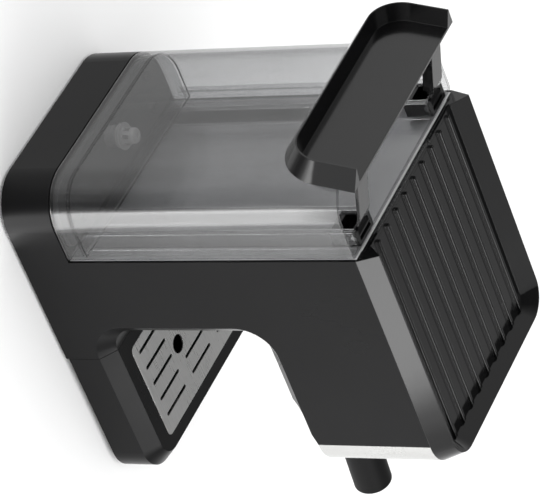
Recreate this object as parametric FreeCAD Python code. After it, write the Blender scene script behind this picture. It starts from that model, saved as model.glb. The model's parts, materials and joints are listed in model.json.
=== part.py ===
import FreeCAD, Part
import math
import os

V = FreeCAD.Vector

# Home espresso machine, in millimetres. While it is built, X runs across the machine,
# -Y points to the front, +Y to the water tank, and Z is up from the surface it stands on.
# Y = 0 is close to the front of the column. Every piece is moved at the end so that the
# origin is under the middle of the whole machine's box.

# ---- overall body
body_width = 200.0
rear_y = 126.4
rear_radius = 34.2
head_front_y = -145.7
front_radius = 28.8
foot_height = 3.0
shoulder_z = 287.9
rim_height = 16.6
rim_lean = 6.3
wall = 2.5
slip = 0.3

# ---- side profile of the cup bay
tank_seam_y = 62.7
tray_seam_y = -32.8
side_front_y = -116.9
head_under_z = 191.3
head_lip_rise = 2.2
base_fillet_r = 31.5
base_fillet_z = 64.4
top_fillet_r = 29.0
bevel_width = 10.9
bevel_drop = 11.3
bevel_fade_y = -80.0
bevel_kink_y = -106.8
deck_z = 44.8

# ---- top cover and cup tray
tray_edge_inset = 18.0
tray_front_inset = 14.0
tray_rise = 5.1
rim_edge = 1.0
rib_count = 9
rib_pitch = 18.1
rib_width = 3.4
rib_height = 2.6
rear_bar = 2.5

# ---- stainless front and controls
sheet = 1.2
button_radius = 9.0
button_gap = 0.35
button_pitch = 30.0
button_row_x = -28.0
button_z = 244.0
button_stroke = 2.0
knob_x = 60.0
knob_radius = 17.0
knob_length = 17.0
spindle_radius = 3.0
running_gap = 0.06

# ---- brewing group
group_y = -88.0
collar_radius = 41.5
collar_bore = 37.0
collar_low_z = 168.5
ledge_height = 3.0
ledge_bore = 33.2
lug_half_angle = 17.0
lug_gap_angle = 20.0
lug_height = 4.2
lock_turn = 45.0
holder_radius = 31.5
holder_wall = 4.0
holder_low_z = 150.0
holder_top_z = 181.0
basket_wall = 0.8
basket_depth = 22.0
gasket_height = 5.7
group_height = 24.0
handle_radius = 15.5
handle_axis_z = 155.5
handle_axis_y = -227.0
handle_end_y = -251.5
handle_tilt = 3.75
handle_length = 112.0
stem_radius = 6.0

# ---- boiler and pump
boiler_radius = 36.0
boiler_height = 43.0
pump_y = 28.0
pump_radius = 14.0
pump_low_z = 62.0
pump_height = 100.0
coil_width = 46.0
coil_height = 44.0
hose_radius = 4.0
pipe_radius = 2.5

# ---- steam wand
wand_x = 79.6
wand_y = -100.0
wand_pivot_z = 190.0
ball_radius = 6.0
wand_radius = 2.6
wand_low_z = 76.0

# ---- drip tray and grille
tray_front_y = -157.7
tray_corner_r = 27.0
tray_gap = 0.3
tray_base_z = 5.3
grille_half_x = 75.3
grille_front_y = -135.5
grille_rear_y = -45.5
grille_sheet = 1.2
grille_corner_r = 5.0
grille_ledge = 3.6
slot_length = 35.6
slot_width = 3.0
slot_row_pitch = 16.05
slot_column_pitch = 49.5
finger_hole_r = 7.7
finger_hole_x = 19.4

# ---- water tank
tank_gap = 1.5
tank_wall = 2.6
tank_rim_drop = 0.3
rear_dip = 1.6
rear_dip_half = 84.0
tank_floor_z = 59.0
seat_height = 4.2
seat_inset = 4.0
port_y = 104.0
port_radius = 6.5
valve_bore = 7.6
valve_tube_radius = 9.0
valve_cage_radius = 6.6
valve_seat_bore = 3.6
valve_stroke = 1.5
spring_radius = 3.4
spring_wire = 0.35

# ---- tank lid, its two arms and the slide blocks they hinge on
lid_gap = 0.6
lid_depth = 64.1
lid_height = 16.6
lid_rise = 0.4
lid_plate = 2.4
lid_side_lean = 6.5
lid_rear_lean = 9.9
lid_rim_radius = 25.0
lid_rim_foot = 3.0
lid_open_angle = 75.3
arm_inner_x = 66.0
arm_width = 18.0
arm_sheet = 2.5
arm_flange = 7.0
arm_offset = 10.5
arm_length = 56.1
arm_root_offset = 5.6
arm_knee_height = 15.0
arm_knee_shift = 4.2
slide_travel = 52.7
pin_radius = 2.0
knuckle_radius = 4.0
guide_wall = 2.5
guide_inner_x = 62.0
guide_outer_x = 88.0
guide_depth = 15.0
guide_lip = 2.3

# ---- places worked out from the values above
half_width = body_width / 2
rim_top_z = shoulder_z + rim_height
tray_floor_z = shoulder_z + tray_rise
tank_rim_z = shoulder_z - tank_rim_drop
lid_under_z = shoulder_z + lid_rise
column_y = tray_seam_y + base_fillet_r
top_fillet_y = column_y - top_fillet_r
top_fillet_z = head_under_z - top_fillet_r
tray_side_z = base_fillet_z - base_fillet_r
tray_top_z = tray_side_z + bevel_drop
flat_half = half_width - bevel_width
base_plate_top_z = foot_height + 2.0
tank_front_y = tank_seam_y + tank_gap
seat_top_z = deck_z + seat_height
lid_edge_y = tank_seam_y + lid_gap
hinge_y = lid_edge_y + arm_offset
hinge_closed_z = lid_under_z - arm_length
hinge_open_z = hinge_closed_z + slide_travel
gasket_low_z = holder_top_z + basket_wall + slip
group_low_z = gasket_low_z + gasket_height
group_top_z = group_low_z + group_height
boiler_top_z = group_top_z + boiler_height


# ------------------------------------------------------------------ shape helpers
def block(x0, x1, y0, y1, z0, z1):
    return Part.makeBox(x1 - x0, y1 - y0, z1 - z0, V(x0, y0, z0))


def post(radius, x, y, z0, z1):
    return Part.makeCylinder(radius, z1 - z0, V(x, y, z0))


def ring(outer, inner, x, y, z0, z1):
    return post(outer, x, y, z0, z1).cut(post(inner, x, y, z0 - 1, z1 + 1))


def rod_y(radius, x, y0, y1, z):
    return Part.makeCylinder(radius, y1 - y0, V(x, y0, z), V(0, 1, 0))


def rod_x(radius, x0, x1, y, z):
    return Part.makeCylinder(radius, x1 - x0, V(x0, y, z), V(1, 0, 0))


def join(shapes):
    whole = shapes[0]
    for shape in shapes[1:]:
        whole = whole.fuse(shape)
    return whole.removeSplitter()


def mirrored(shape):
    return shape.mirror(V(0, 0, 0), V(1, 0, 0))


def polygon_wire(points):
    return Part.makePolygon(points + [points[0]])


def corner(x, y, radius, first_angle, z):
    circle = Part.Circle(V(x, y, z), V(0, 0, 1), radius)
    start = math.radians(first_angle)
    return Part.ArcOfCircle(circle, start, start + math.pi / 2).toShape()


def plan_wire(half, front, rear, front_r, rear_r, z):
    """Rectangle seen from above, with its two front and two rear corners rounded."""
    corners = [
        (-half, front, front_r, 180),
        (half, front, front_r, 270),
        (half, rear, rear_r, 0),
        (-half, rear, rear_r, 90),
    ]
    inward = {180: (1, 1), 270: (-1, 1), 0: (-1, -1), 90: (1, -1)}
    edges = []
    ends = []
    for x, y, radius, angle in corners:
        sx, sy = inward[angle]
        if radius > 0:
            arc = corner(x + sx * radius, y + sy * radius, radius, angle, z)
            ends.append((arc.Vertexes[0].Point, arc.Vertexes[-1].Point, arc))
        else:
            ends.append((V(x, y, z), V(x, y, z), None))
    for index, (start, end, arc) in enumerate(ends):
        if arc:
            edges.append(arc)
        following = ends[(index + 1) % len(ends)][0]
        if end.distanceToPoint(following) > 1e-6:
            edges.append(Part.makeLine(end, following))
    return Part.Wire(Part.__sortEdges__(edges))


def plan_solid(half, front, rear, front_r, rear_r, z0, z1):
    face = Part.Face(plan_wire(half, front, rear, front_r, rear_r, z0))
    return face.extrude(V(0, 0, z1 - z0))


def plan_loft(lower, upper):
    return Part.makeLoft([plan_wire(*lower), plan_wire(*upper)], True, True)


def tube_path(points, radius):
    """Straight runs joined by tangent arcs."""
    edges = []
    last = points[0]
    for before, here, after in zip(points, points[1:], points[2:]):
        into = (here - before).normalize()
        out = (after - here).normalize()
        turn = into.getAngle(out)
        reach = radius * math.tan(turn / 2)
        start = here - into * reach
        end = here + out * reach
        bisector = (out - into).normalize()
        middle = here + bisector * (radius / math.cos(turn / 2) - radius)
        edges.append(Part.makeLine(last, start))
        edges.append(Part.Arc(start, middle, end).toShape())
        last = end
    edges.append(Part.makeLine(last, points[-1]))
    return Part.Wire(edges)


def pipe(points, bend, outer):
    path = tube_path(points, bend)
    direction = (points[1] - points[0]).normalize()
    section = Part.Wire(Part.Circle(points[0], direction, outer).toShape())
    return path.makePipeShell([section], True, False)


def sector_ring(outer, inner, first, last, z0, z1):
    """Part of a ring round the group's axis, between two angles in degrees."""
    sweep = last - first
    wedge = Part.makeCylinder(outer, z1 - z0, V(0, 0, z0), V(0, 0, 1), sweep)
    wedge = wedge.cut(post(inner, 0, 0, z0 - 1, z1 + 1))
    wedge.rotate(V(0, 0, 0), V(0, 0, 1), first)
    wedge.translate(V(0, group_y, 0))
    return wedge


# ------------------------------------------------------------------ housing
def bay_wire(x, drop, thick):
    """Outline of the open cup bay in a plane across X. drop shrinks it, thick grows it."""
    low_r = base_fillet_r - drop + thick
    high_r = top_fillet_r - drop + thick
    far_y = tray_front_y * 2
    tray_z = base_fillet_z - low_r
    under_z = top_fillet_z + high_r
    kink_share = (side_front_y - bevel_kink_y) / (side_front_y - bevel_fade_y)
    kink_z = head_under_z + thick - drop * kink_share
    lip_z = head_under_z + head_lip_rise + thick
    half_turn = math.sqrt(0.5)
    low_mid = V(x, tray_seam_y + low_r * half_turn, base_fillet_z - low_r * half_turn)
    high_mid = V(x, top_fillet_y + high_r * half_turn, top_fillet_z + high_r * half_turn)
    low_start = V(x, tray_seam_y, tray_z)
    low_end = V(x, tray_seam_y + low_r, base_fillet_z)
    high_start = V(x, top_fillet_y + high_r, top_fillet_z)
    high_end = V(x, top_fillet_y, under_z)
    fade = V(x, bevel_fade_y, under_z)
    kink = V(x, bevel_kink_y, kink_z)
    lip = V(x, side_front_y, lip_z)
    far_high = V(x, far_y, lip_z)
    far_low = V(x, far_y, tray_z)
    edges = [
        Part.makeLine(far_low, low_start),
        Part.Arc(low_start, low_mid, low_end).toShape(),
        Part.makeLine(low_end, high_start),
        Part.Arc(high_start, high_mid, high_end).toShape(),
        Part.makeLine(high_end, fade),
        Part.makeLine(fade, kink),
        Part.makeLine(kink, lip),
        Part.makeLine(lip, far_high),
        Part.makeLine(far_high, far_low),
    ]
    return Part.Wire(edges)


def cup_bay(thick):
    """The open bay, narrow in the middle and widened by a bevel to both sides."""
    middle = Part.Face(bay_wire(-flat_half, bevel_drop, thick)).extrude(V(2 * flat_half, 0, 0))
    inner = bay_wire(flat_half, bevel_drop, thick)
    outer = bay_wire(half_width, 0, thick)
    flare = Part.makeLoft([inner, outer], True, True)
    past = Part.Face(bay_wire(half_width, 0, thick)).extrude(V(half_width, 0, 0))
    return join([middle, flare, mirrored(flare), past, mirrored(past)])


def housing_walls():
    """Side walls, tank deck, column front and head underside, before they are split."""
    column = block(-half_width, half_width, side_front_y, tank_seam_y, foot_height, shoulder_z)
    base = plan_solid(half_width, tray_seam_y, rear_y, 0, rear_radius, foot_height, deck_z)
    outside = column.fuse(base).cut(cup_bay(0))
    in_front = block(-half_width, half_width, side_front_y - 1, tray_seam_y, 0, base_fillet_z)
    outside = outside.cut(in_front)
    inner_half = half_width - wall
    hollow = block(-inner_half, inner_half, side_front_y - 1, tank_seam_y + 1, deck_z, rim_top_z)
    under = block(-inner_half, inner_half, tray_seam_y + wall, tank_seam_y, -1, deck_z)
    under_tank = plan_solid(
        inner_half, tray_seam_y + wall, rear_y - wall, 0, rear_radius - wall, -1, deck_z - wall
    )
    ahead = block(-half_width, half_width, side_front_y - 2, tray_seam_y + wall, -2, base_fillet_z)
    hollow = hollow.fuse(under).fuse(under_tank).cut(cup_bay(wall)).cut(ahead)
    return outside.cut(hollow)


def middle_front(depth):
    """The middle of the bay's lining, which is a panel of its own."""
    return block(-flat_half, flat_half, top_fillet_y, depth, tray_side_z - wall, head_under_z + wall)


def outer_housing(walls):
    underside = block(
        -flat_half, flat_half, side_front_y - 1, top_fillet_y, top_fillet_z, head_under_z + 10
    )
    shell = walls.cut(middle_front(column_y + wall + 1)).cut(underside)
    notch = block(
        -tongue_half() - slip, tongue_half() + slip, tray_seam_y - 1, tray_seam_y + wall + 1,
        0, base_plate_top_z + slip,
    )
    gland_hole = rod_x(gland_neck(), half_width - wall - 1, half_width + 1, gland_y(), gland_z())
    port_hole = post(port_radius + slip, 0, port_y, deck_z - wall - 1, deck_z + 1)
    return shell.cut(notch).cut(gland_hole).cut(port_hole)


def column_front_panel(walls):
    return walls.common(middle_front(column_y + wall + 1))


def head_underside(walls):
    underside = walls.common(
        block(-flat_half, flat_half, side_front_y, top_fillet_y, top_fillet_z, head_under_z + 10)
    )
    lip_z = head_under_z + head_lip_rise
    nose = plan_solid(
        half_width - sheet, head_front_y + sheet, side_front_y, front_radius - sheet, 0,
        lip_z, lip_z + wall,
    )
    plate = join([underside, nose])
    group_hole = post(collar_radius + slip, 0, group_y, collar_low_z, head_under_z + 20)
    wand_hole = post(socket_radius() + slip, wand_x, wand_y, collar_low_z, head_under_z + 20)
    return plate.cut(group_hole).cut(wand_hole)


def rear_panel():
    inner_half = half_width - wall
    panel = block(-inner_half, inner_half, tank_seam_y - wall, tank_seam_y, deck_z, shoulder_z)
    return panel


def tongue_half():
    return flat_half - 4.0


def foot_places():
    rear_x = half_width - 20.0
    front_x = flat_half - 18.0
    front_y = tray_front_y + 23.0
    back_y = rear_y - 26.0
    return [(-rear_x, back_y), (rear_x, back_y), (-front_x, front_y), (front_x, front_y)]


def base_plate():
    inset = wall + 0.2
    main = plan_solid(
        half_width - inset, tray_seam_y + inset, rear_y - inset, 0, rear_radius - inset,
        foot_height, base_plate_top_z,
    )
    tongue = plan_solid(
        tongue_half(), tray_front_y + 8.0, tray_seam_y + inset + 1, 14.0, 0,
        foot_height, base_plate_top_z,
    )
    plate = join([main, tongue])
    for x, y in screw_places():
        plate = plate.cut(post(screw_radius() + slip, x, y, 0, base_plate_top_z + 1))
    return plate


def screw_radius():
    return 2.0


def screw_places():
    return [(sx * (half_width - 14.0), y) for sx in (-1, 1) for y in (-18.0, 25.0, 68.0)]


def base_screws():
    screws = []
    for x, y in screw_places():
        shank = post(screw_radius(), x, y, foot_height, base_plate_top_z + 14.0)
        head = post(screw_radius() * 2, x, y, foot_height - 1.6, foot_height)
        screws.append(shank.fuse(head))
    return Part.makeCompound(screws)


def screw_bosses():
    """Posts inside the housing that take the base screws, each with a web to the side wall."""
    top = base_plate_top_z + 20.0
    bosses = []
    for x, y in screw_places():
        wall_x = math.copysign(half_width - wall, x)
        boss = post(5.0, x, y, base_plate_top_z, top)
        web = block(min(x, wall_x), max(x, wall_x), y - 1.5, y + 1.5, base_plate_top_z, top)
        hole = post(screw_radius(), x, y, 0, base_plate_top_z + 14.0)
        bosses.append(boss.fuse(web).cut(hole))
    return bosses


def rubber_feet():
    feet = []
    for x, y in foot_places():
        foot = Part.makeCone(9.0, 10.0, foot_height, V(x, y, 0))
        feet.append(foot)
    return Part.makeCompound(feet)


def gland_neck():
    return 7.0


def gland_y():
    return 40.0


def gland_z():
    return 22.0


def cord_gland():
    """Grommet in the right side of the base, flush with it, with the cord's hole."""
    neck = gland_neck() - 0.1
    sleeve = rod_x(neck, half_width - wall - 8.0, half_width - 0.2, gland_y(), gland_z())
    flange = rod_x(neck + 2.5, half_width - wall - 3.0, half_width - wall, gland_y(), gland_z())
    bore = rod_x(3.5, half_width - wall - 20.0, half_width + 5.0, gland_y(), gland_z())
    return sleeve.fuse(flange).cut(bore)


# ------------------------------------------------------------------ top
def tray_half():
    return half_width - tray_edge_inset


def tray_front():
    return head_front_y + tray_front_inset


def tray_rear():
    return tank_seam_y - rear_bar


def tray_corner():
    return front_radius - tray_edge_inset


def top_cover():
    outer = plan_loft(
        (half_width, head_front_y, tank_seam_y, front_radius, 0, shoulder_z),
        (half_width - rim_lean, head_front_y + rim_lean, tank_seam_y, front_radius - rim_lean, 0,
         rim_top_z),
    )
    edge = rim_lean + rim_edge
    slope = plan_loft(
        (tray_half(), tray_front(), tank_seam_y + 2, tray_corner(), 0, tray_floor_z),
        (half_width - edge, head_front_y + edge, tank_seam_y + 2, front_radius - edge, 0,
         rim_top_z),
    )
    well = plan_solid(
        tray_half(), tray_front(), tray_rear(), tray_corner(), 0, shoulder_z - 1, tray_floor_z
    )
    cover = outer.cut(slope).cut(well)
    relief = plan_solid(
        tray_half() + 6, tray_front() - 6, tray_rear() + 3, tray_corner() + 4, 0,
        shoulder_z - 1, tray_floor_z - wall,
    )
    return cover.cut(relief)


def cup_tray():
    plate = plan_solid(
        tray_half(), tray_front(), tray_rear(), tray_corner(), 0, tray_floor_z - wall, tray_floor_z
    )
    lip = plan_solid(
        tray_half() + 5, tray_front() - 5, tray_rear() + 2, tray_corner() + 4, 0,
        tray_floor_z - 2 * wall, tray_floor_z - wall,
    )
    tray = plate.fuse(lip)
    middle = (rib_count - 1) / 2
    for index in range(rib_count):
        x = (index - middle) * rib_pitch
        rib = block(
            x - rib_width / 2, x + rib_width / 2, tray_front() + 1.0, tray_rear() - 1.0,
            tray_floor_z - 0.5, tray_floor_z + rib_height,
        )
        tops = [e for e in rib.Edges if min(v.Z for v in e.Vertexes) > tray_floor_z + 1]
        tray = tray.fuse(rib.makeFillet(rib_width * 0.3, tops))
    return tray.removeSplitter()


# ------------------------------------------------------------------ front and controls
def button_places():
    return [button_row_x + step * button_pitch for step in (-1, 0, 1)]


def front_panel():
    lip_z = head_under_z + head_lip_rise
    outer = plan_solid(
        half_width, head_front_y, side_front_y, front_radius, 0, lip_z, shoulder_z
    )
    inner = plan_solid(
        half_width - sheet, head_front_y + sheet, side_front_y + 1, front_radius - sheet, 0,
        lip_z - 1, shoulder_z + 1,
    )
    panel = outer.cut(inner)
    return pierce_front(panel)


def pierce_front(plate):
    near = head_front_y - 1
    far = head_front_y + 12
    for x in button_places():
        plate = plate.cut(rod_y(button_radius + button_gap, x, near, far, button_z))
        plate = plate.cut(rod_y(lens_radius() + 0.1, x, near, far, lens_z()))
    return plate.cut(rod_y(spindle_radius + 1.0, knob_x, near, far, button_z))


def lens_radius():
    return 2.0


def lens_z():
    return button_z + button_radius + 9.0


def button_carrier():
    plate = block(
        -half_width + front_radius, half_width - front_radius,
        head_front_y + sheet, head_front_y + sheet + 2.0, head_under_z + 12.0, shoulder_z - 6.0,
    )
    return pierce_front(plate)


def push_button(x):
    face_y = head_front_y - 2.6
    cap = rod_y(button_radius, x, face_y, head_front_y + sheet + 1.5, button_z)
    dish = Part.makeSphere(30.0, V(x, face_y - 29.2, button_z))
    stem = rod_y(2.5, x, head_front_y + sheet + 1.5, head_front_y + 5.0, button_z)
    return cap.cut(dish).fuse(stem)


def switch_block():
    switches = []
    first_y = head_front_y + 5.0 + button_stroke + slip
    for x in button_places():
        switches.append(block(x - 6, x + 6, first_y, board_y(), button_z - 6, button_z + 6))
    return Part.makeCompound(switches)


def board_y():
    return head_front_y + 13.0


def control_board():
    xs = button_places()
    board = block(xs[0] - 14, xs[-1] + 14, board_y(), board_y() + 1.6, button_z - 24, button_z + 26)
    relay = block(xs[0] - 8, xs[0] + 10, board_y() + 1.6, board_y() + 8.0, button_z - 20,
                  button_z - 6)
    return board.fuse(relay)


def indicator_lenses():
    lenses = []
    for x in button_places():
        lenses.append(rod_y(lens_radius(), x, head_front_y - 0.6, head_front_y + 4.0, lens_z()))
    return Part.makeCompound(lenses)


def steam_knob():
    front_y = head_front_y - 1.5 - knob_length
    knob = rod_y(knob_radius, knob_x, front_y, front_y + knob_length, button_z)
    knob = knob.makeFillet(2.0, [knob.Edges[0], knob.Edges[2]])
    grip_count = 18
    for index in range(grip_count):
        angle = 2 * math.pi * index / grip_count
        x = knob_x + (knob_radius + 0.7) * math.cos(angle)
        z = button_z + (knob_radius + 0.7) * math.sin(angle)
        knob = knob.cut(rod_y(1.5, x, front_y + 4.0, front_y + knob_length + 1, z))
    return knob.cut(rod_y(spindle_radius, knob_x, front_y + 6.0, front_y + knob_length + 1, button_z))


def steam_spindle():
    return rod_y(spindle_radius, knob_x, head_front_y - 1.5 - knob_length + 6.0,
                 valve_front_y() + 20.0, button_z)


def valve_front_y():
    return head_front_y + 6.0


def steam_valve():
    front = valve_front_y()
    body = rod_y(8.0, knob_x, front, front + 30.0, button_z)
    collar = rod_y(11.0, knob_x, front + 6.0, front + 12.0, button_z)
    bore = rod_y(spindle_radius + running_gap, knob_x, front - 1.0, front + 21.0, button_z)
    return body.fuse(collar).cut(bore)


def wand_feed_pipe():
    y = valve_front_y() + 26.0
    top_z = socket_top_z()
    knee_z = top_z + 14.0
    points = [
        V(knob_x, y, button_z - 8.0),
        V(knob_x, y, knee_z),
        V(wand_x, wand_y, knee_z),
        V(wand_x, wand_y, top_z),
    ]
    return pipe(points, 4.0, pipe_radius)


def steam_feed_pipe():
    y = valve_front_y() + 30.0
    start_z = button_z
    points = [
        V(knob_x, y, start_z),
        V(knob_x, group_y, start_z),
        V(boiler_radius - 1.0, group_y, start_z),
    ]
    tube = pipe(points, 6.0, pipe_radius)
    return tube.cut(post(boiler_radius, 0, group_y, start_z - 10, start_z + 10))


# ------------------------------------------------------------------ brewing group
def group_head():
    body = post(collar_radius - 1.0, 0, group_y, group_low_z, group_top_z)
    chamber = post(screen_radius() + 0.5, 0, group_y, group_low_z - 1, group_low_z + 3.0)
    feed = post(4.0, 0, group_y, group_low_z - 1, group_top_z + 1)
    return body.cut(chamber).cut(feed)


def screen_radius():
    return 24.0


def bayonet_collar():
    tube = ring(collar_radius, collar_bore, 0, group_y, collar_low_z, group_low_z)
    low = collar_low_z
    high = collar_low_z + ledge_height
    gap = lug_gap_angle
    first = -lock_turn + gap
    last = 180 - lock_turn - gap
    ledges = [
        sector_ring(collar_radius - 1, ledge_bore, first, last, low, high),
        sector_ring(collar_radius - 1, ledge_bore, first + 180, last + 180, low, high),
    ]
    return join([tube] + ledges)


def group_gasket():
    return ring(holder_radius - 0.7, screen_radius() + 0.7, 0, group_y, gasket_low_z, group_low_z)


def shower_screen():
    screen = post(screen_radius(), 0, group_y, group_low_z - 2.4, group_low_z - 1.2)
    dish = ring(screen_radius(), screen_radius() - 1.2, 0, group_y, group_low_z - 2.4, group_low_z + 2.0)
    screen = screen.fuse(dish)
    for ring_radius, count in ((10.0, 10), (15.0, 16), (20.0, 22)):
        for index in range(count):
            angle = 2 * math.pi * index / count
            x = ring_radius * math.cos(angle)
            y = group_y + ring_radius * math.sin(angle)
            screen = screen.cut(post(0.9, x, y, group_low_z - 3, group_low_z))
    return screen.cut(post(2.6, 0, group_y, group_low_z - 3, group_low_z))


def shower_screw():
    head = post(5.0, 0, group_y, group_low_z - 4.4, group_low_z - 2.4)
    shank = post(2.5, 0, group_y, group_low_z - 2.4, group_low_z + 6.0)
    return head.fuse(shank)


def boiler_shell():
    shell = post(boiler_radius, 0, group_y, group_top_z, boiler_top_z)
    inside = post(boiler_radius - 4.0, 0, group_y, group_top_z + 5.0, boiler_top_z + 1)
    feed = post(4.0, 0, group_y, group_top_z - 1, group_top_z + 6)
    return shell.cut(inside).cut(feed)


def boiler_lid():
    lid = post(boiler_radius + 3.0, 0, group_y, boiler_top_z, boiler_top_z + 5.0)
    hub = post(boiler_radius - 12.0, 0, group_y, boiler_top_z + 5.0, boiler_top_z + 8.0)
    return lid.fuse(hub)


def boiler_screws():
    screws = []
    count = 6
    for index in range(count):
        angle = 2 * math.pi * (index + 0.5) / count
        x = (boiler_radius - 5.0) * math.cos(angle)
        y = group_y + (boiler_radius - 5.0) * math.sin(angle)
        screws.append(post(3.0, x, y, boiler_top_z + 5.0, boiler_top_z + 8.5))
    return Part.makeCompound(screws)


def thermostat():
    base = post(8.0, 0, group_y, boiler_top_z + 8.0, boiler_top_z + 12.0)
    tabs = block(-6, 6, group_y - 1.0, group_y + 1.0, boiler_top_z + 12.0, boiler_top_z + 17.0)
    return base.fuse(tabs)


# ------------------------------------------------------------------ portafilter
def portafilter_ring():
    cup = post(holder_radius, 0, group_y, holder_low_z, holder_top_z)
    cup = cup.makeFillet(4.0, [cup.Edges[2]])
    bore = post(holder_radius - holder_wall, 0, group_y, holder_low_z + 4.0, holder_top_z + 1)
    outlet = post(5.0, 0, group_y, holder_low_z - 1, holder_low_z + 5)
    cup = cup.cut(bore).cut(outlet)
    lug_low = collar_low_z + ledge_height + slip
    lugs = []
    for middle in (0, 180):
        lugs.append(
            sector_ring(
                collar_bore - 0.5, holder_radius - 1.5, middle - lug_half_angle,
                middle + lug_half_angle, lug_low, lug_low + lug_height,
            )
        )
    whole = join([cup] + lugs)
    return whole.cut(stem_rod(stem_radius))


def filter_basket():
    outer_r = holder_radius - holder_wall - 0.3
    inner_r = outer_r - basket_wall
    low_z = holder_top_z - basket_depth
    cup = post(outer_r, 0, group_y, low_z, holder_top_z)
    flange = post(holder_radius - 0.6, 0, group_y, holder_top_z, holder_top_z + basket_wall)
    bore = post(inner_r, 0, group_y, low_z + basket_wall, holder_top_z + 5)
    return cup.fuse(flange).cut(bore)


def along_handle(shape):
    """Lay a shape built along +Z, from the handle's end, on the tilted handle axis."""
    shape.rotate(V(0, 0, 0), V(1, 0, 0), -90 + handle_tilt)
    end_z = handle_axis_z + (handle_end_y - handle_axis_y) * math.tan(math.radians(handle_tilt))
    shape.translate(V(0, handle_end_y, end_z))
    return shape


def stem_rod(radius):
    length = (group_y - holder_radius + holder_wall - 0.5 - handle_end_y)
    length = length / math.cos(math.radians(handle_tilt))
    rod = Part.makeCylinder(radius, length - 10.0, V(0, 0, 10.0))
    return along_handle(rod)


def handle_stem():
    rod = stem_rod(stem_radius)
    inside = post(holder_radius - holder_wall, 0, group_y, holder_low_z, holder_top_z)
    return rod.cut(inside)


def handle_grip():
    r = handle_radius
    neck = 11.5
    crown = 1.2
    profile = [
        Part.Arc(V(0, 0, 0), V(r * 0.45, 0, crown * 0.22), V(r - 3.0, 0, crown)).toShape(),
        Part.Arc(V(r - 3.0, 0, crown), V(r - 0.7, 0, crown + 1.1), V(r, 0, crown + 3.4)).toShape(),
        Part.makeLine(V(r, 0, crown + 3.4), V(r, 0, handle_length - 26.0)),
        Part.makeLine(V(r, 0, handle_length - 26.0), V(neck, 0, handle_length)),
        Part.makeLine(V(neck, 0, handle_length), V(0, 0, handle_length)),
        Part.makeLine(V(0, 0, handle_length), V(0, 0, 0)),
    ]
    face = Part.Face(Part.Wire(profile))
    grip = face.revolve(V(0, 0, 0), V(0, 0, 1), 360)
    grip = grip.cut(Part.makeCylinder(stem_radius, handle_length, V(0, 0, 10.0)))
    return along_handle(grip)


def portafilter_spout():
    neck = post(7.0, 0, group_y, holder_low_z - 10.0, holder_low_z)
    bridge = rod_x(6.0, -15.0, 15.0, group_y, holder_low_z - 13.0)
    spout = neck.fuse(bridge)
    for x in (-15.0, 15.0):
        spout = spout.fuse(Part.makeCone(4.6, 6.0, 9.0, V(x, group_y, holder_low_z - 22.0)))
        spout = spout.fuse(Part.makeSphere(6.0, V(x, group_y, holder_low_z - 13.0)))
    for x in (-15.0, 15.0):
        spout = spout.cut(post(2.8, x, group_y, holder_low_z - 24.0, holder_low_z - 13.0))
    spout = spout.cut(rod_x(2.8, -15.0, 15.0, group_y, holder_low_z - 13.0))
    return spout.cut(post(3.5, 0, group_y, holder_low_z - 13.0, holder_low_z + 1))


# ------------------------------------------------------------------ steam wand
def socket_radius():
    return ball_radius + 3.0


def socket_top_z():
    return wand_pivot_z + ball_radius + 3.0


def wand_socket():
    body = post(socket_radius(), wand_x, wand_y, wand_pivot_z - 3.0, socket_top_z())
    return body.cut(Part.makeSphere(ball_radius + slip, V(wand_x, wand_y, wand_pivot_z)))


def wand_tube():
    ball = Part.makeSphere(ball_radius, V(wand_x, wand_y, wand_pivot_z))
    stem = post(wand_radius, wand_x, wand_y, wand_low_z, wand_pivot_z - 2.0)
    return ball.fuse(stem)


def wand_grip():
    sleeve = ring(wand_radius + 3.6, wand_radius, wand_x, wand_y, wand_low_z + 34.0, wand_low_z + 74.0)
    outer = [e for e in sleeve.Edges if e.Curve.TypeId == "Part::GeomCircle"
             and e.Curve.Radius > wand_radius + 1]
    return sleeve.makeFillet(1.5, outer)


def wand_nozzle():
    tip = Part.makeCone(2.2, 3.9, 10.0, V(wand_x, wand_y, wand_low_z - 6.0))
    return tip.cut(post(wand_radius, wand_x, wand_y, wand_low_z, wand_low_z + 6.0))


# ------------------------------------------------------------------ drip tray
def tray_shape(inset, low_z, rear_inset):
    """The tray's outer form, or its hollow when inset is a wall."""
    bevel_low = tray_side_z - inset * 0.4
    half = half_width - inset
    front = tray_front_y + inset
    rear = tray_seam_y - tray_gap - rear_inset
    radius = tray_corner_r - inset
    lower = plan_solid(half, front, rear, radius, 0, low_z, bevel_low)
    upper = plan_loft(
        (half, front, rear, radius, 0, bevel_low),
        (half - bevel_width, front + bevel_width, rear, radius - bevel_width, 0,
         bevel_low + bevel_drop),
    )
    return lower.fuse(upper)


def grille_plan(grow, z0, z1):
    return plan_solid(
        grille_half_x + grow, grille_front_y - grow, grille_rear_y + grow,
        grille_corner_r + grow, grille_corner_r + grow, z0, z1,
    )


def drip_tray():
    outer = tray_shape(0, tray_base_z, 0)
    top_skin = tray_top_z - wall - 1.2
    hollow = tray_shape(wall, tray_base_z + wall, wall)
    hollow = hollow.cut(block(-body_width, body_width, -body_width, body_width, top_skin, 100))
    recess = grille_plan(slip, tray_top_z - grille_sheet - 0.3, tray_top_z + 1)
    mouth = grille_plan(-grille_ledge, top_skin - 1, tray_top_z + 1)
    return outer.removeSplitter().cut(hollow).cut(recess).cut(mouth)


def slot(x, y, z0, z1):
    half = (slot_length - slot_width) / 2
    r = slot_width / 2
    return join([
        block(x - half, x + half, y - r, y + r, z0, z1),
        post(r, x - half, y, z0, z1),
        post(r, x + half, y, z0, z1),
    ])


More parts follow.
